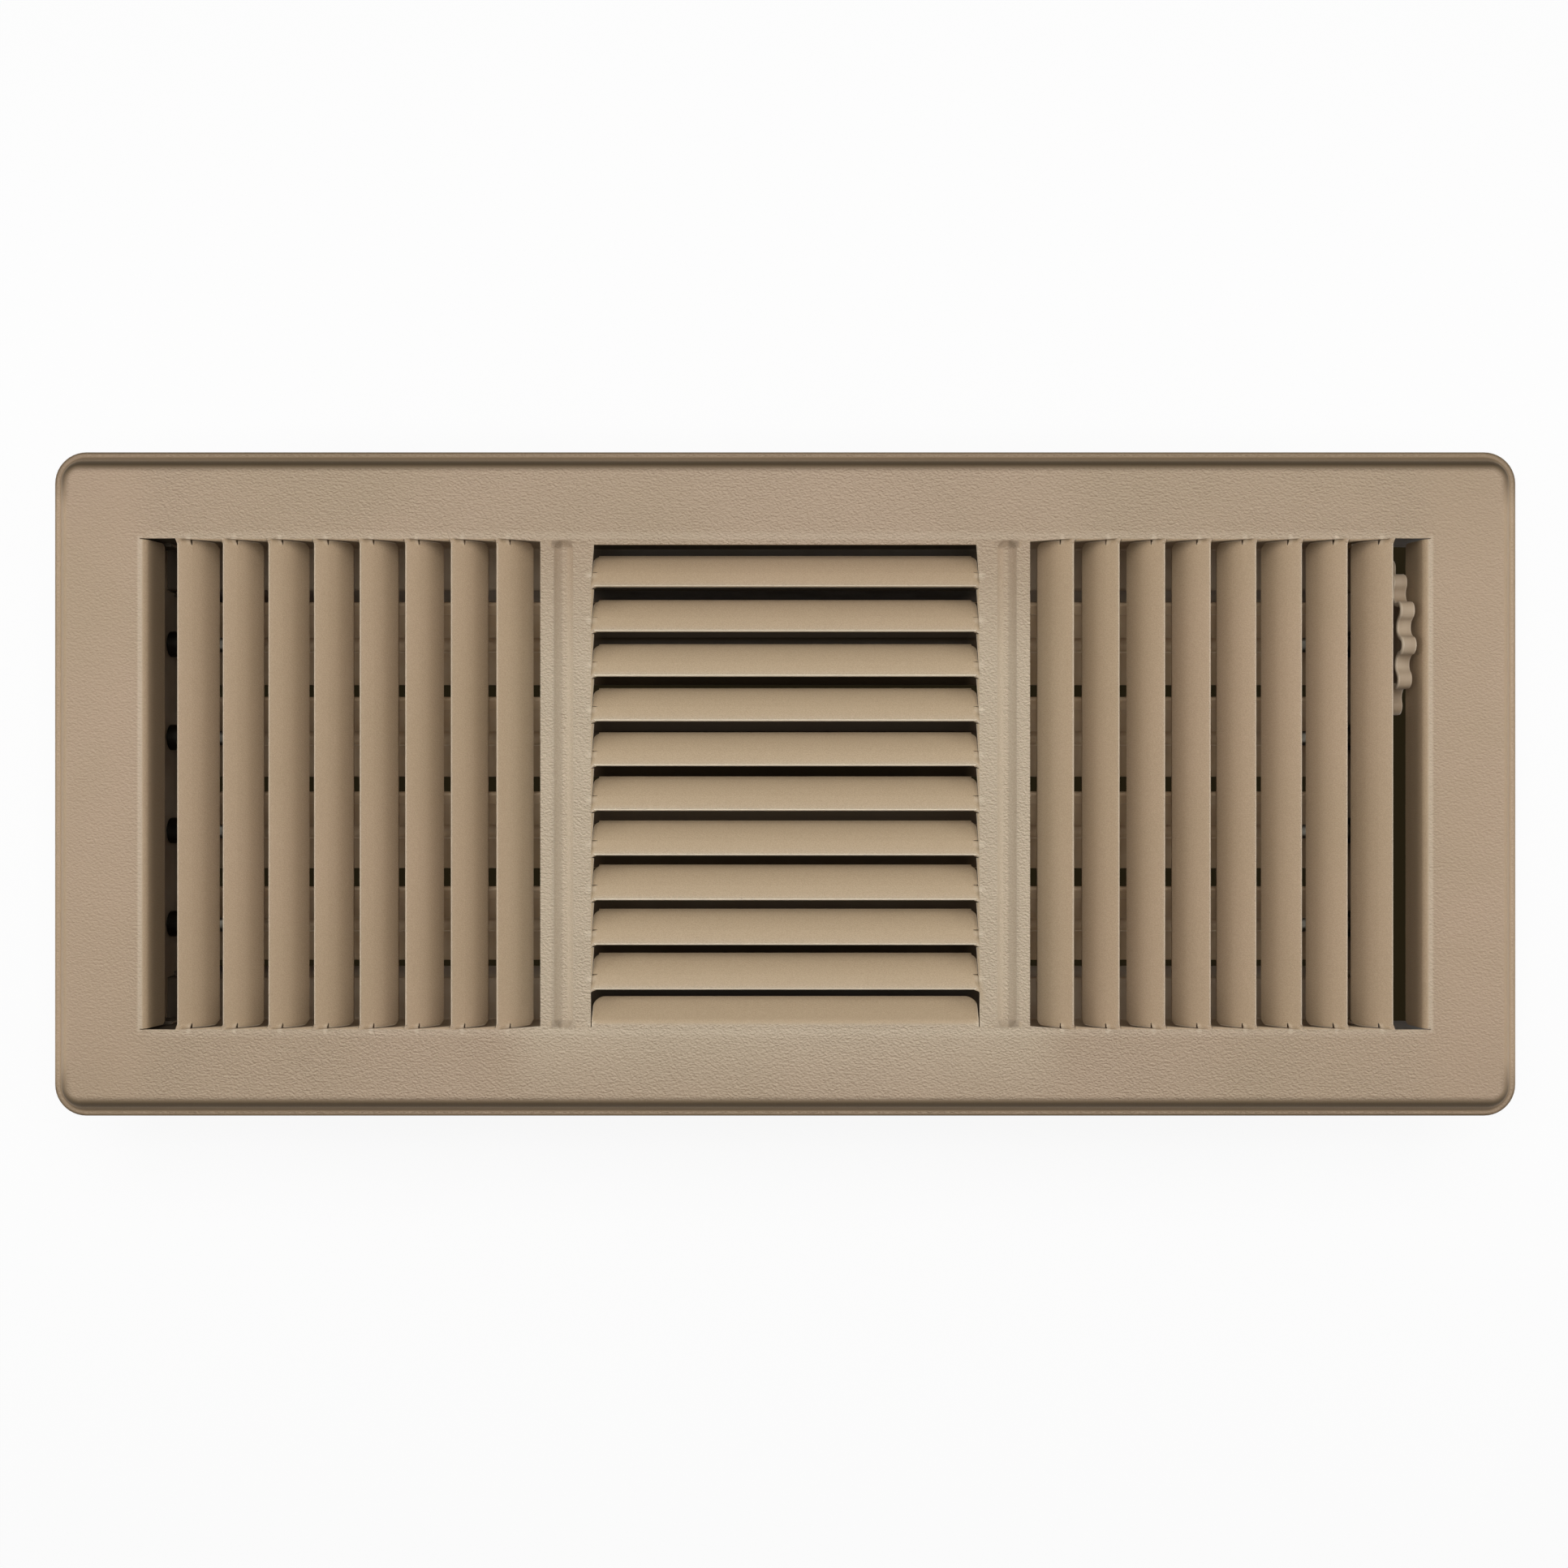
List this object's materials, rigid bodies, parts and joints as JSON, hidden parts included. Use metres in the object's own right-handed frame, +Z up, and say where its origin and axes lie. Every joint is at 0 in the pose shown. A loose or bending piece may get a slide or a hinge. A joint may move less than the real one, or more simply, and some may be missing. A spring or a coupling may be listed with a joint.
{
  "type": "floor register",
  "caption": "Rectangular stamped floor register with three-way louvers, a turned-down rim and a thumbwheel that turns linked damper blades in a folded duct box.",
  "frame": {"origin": "centre of the damper box's lower edge, below the middle of the face", "axes": "+X along the face towards the thumbwheel, +Y across it, +Z up out of the floor"},
  "size_m": [0.2798, 0.1272, 0.0367],
  "materials": {
    "face_paint": "tan paint with a fine wrinkle",
    "wheel_paint": "tan paint, worn smooth on the lobes",
    "box_paint": "thin tan paint",
    "blade_paint": "brown paint",
    "zinc_steel": "zinc plated"
  },
  "bodies": {
    "frame": {"faceplate": "face_paint", "side_wall_front": "box_paint", "side_wall_rear": "box_paint", "end_wall_left": "box_paint", "end_wall_right": "box_paint", "spring_washer": "zinc_steel"},
    "damper_drive": {"damper_blade_4": "blade_paint", "pivot_pin_left_4": "zinc_steel", "wheel_axle": "zinc_steel", "crank_arm_4": "zinc_steel", "crank_rivet_4": "zinc_steel", "thumbwheel": "wheel_paint", "push_nut": "zinc_steel"},
    "blade_1": {"damper_blade_1": "blade_paint", "pivot_pin_left_1": "zinc_steel", "pivot_pin_right_1": "zinc_steel", "crank_arm_1": "zinc_steel", "crank_rivet_1": "zinc_steel"},
    "blade_2": {"damper_blade_2": "blade_paint", "pivot_pin_left_2": "zinc_steel", "pivot_pin_right_2": "zinc_steel", "crank_arm_2": "zinc_steel", "crank_rivet_2": "zinc_steel"},
    "blade_3": {"damper_blade_3": "blade_paint", "pivot_pin_left_3": "zinc_steel", "pivot_pin_right_3": "zinc_steel", "crank_arm_3": "zinc_steel", "crank_rivet_3": "zinc_steel"},
    "tie_link": {"tie_bar": "zinc_steel"}
  },
  "joints": [
    {"name": "wheel_turn", "type": "hinge", "parent": "frame", "child": "damper_drive", "pos_m": [0.114, 0.0279, 0.01982], "axis": [1, 0, 0], "range_deg": [-32, 55]},
    {"name": "blade_1_turn", "type": "hinge", "parent": "frame", "child": "blade_1", "pos_m": [0.114, -0.0279, 0.01982], "axis": [1, 0, 0], "range_deg": [-32, 55]},
    {"name": "blade_2_turn", "type": "hinge", "parent": "frame", "child": "blade_2", "pos_m": [0.114, -0.0093, 0.01982], "axis": [1, 0, 0], "range_deg": [-32, 55]},
    {"name": "blade_3_turn", "type": "hinge", "parent": "frame", "child": "blade_3", "pos_m": [0.114, 0.0093, 0.01982], "axis": [1, 0, 0], "range_deg": [-32, 55]},
    {"name": "tie_bar_turn", "type": "hinge", "parent": "damper_drive", "child": "tie_link", "pos_m": [0.1122, 0.0265, 0.01296], "axis": [1, 0, 0], "range_deg": [-55, 32]}
  ],
  "couplings": [
    {"joint": "blade_1_turn", "follows": "wheel_turn", "ratio": 1},
    {"joint": "blade_2_turn", "follows": "wheel_turn", "ratio": 1},
    {"joint": "blade_3_turn", "follows": "wheel_turn", "ratio": 1},
    {"joint": "tie_bar_turn", "follows": "wheel_turn", "ratio": -1}
  ]
}
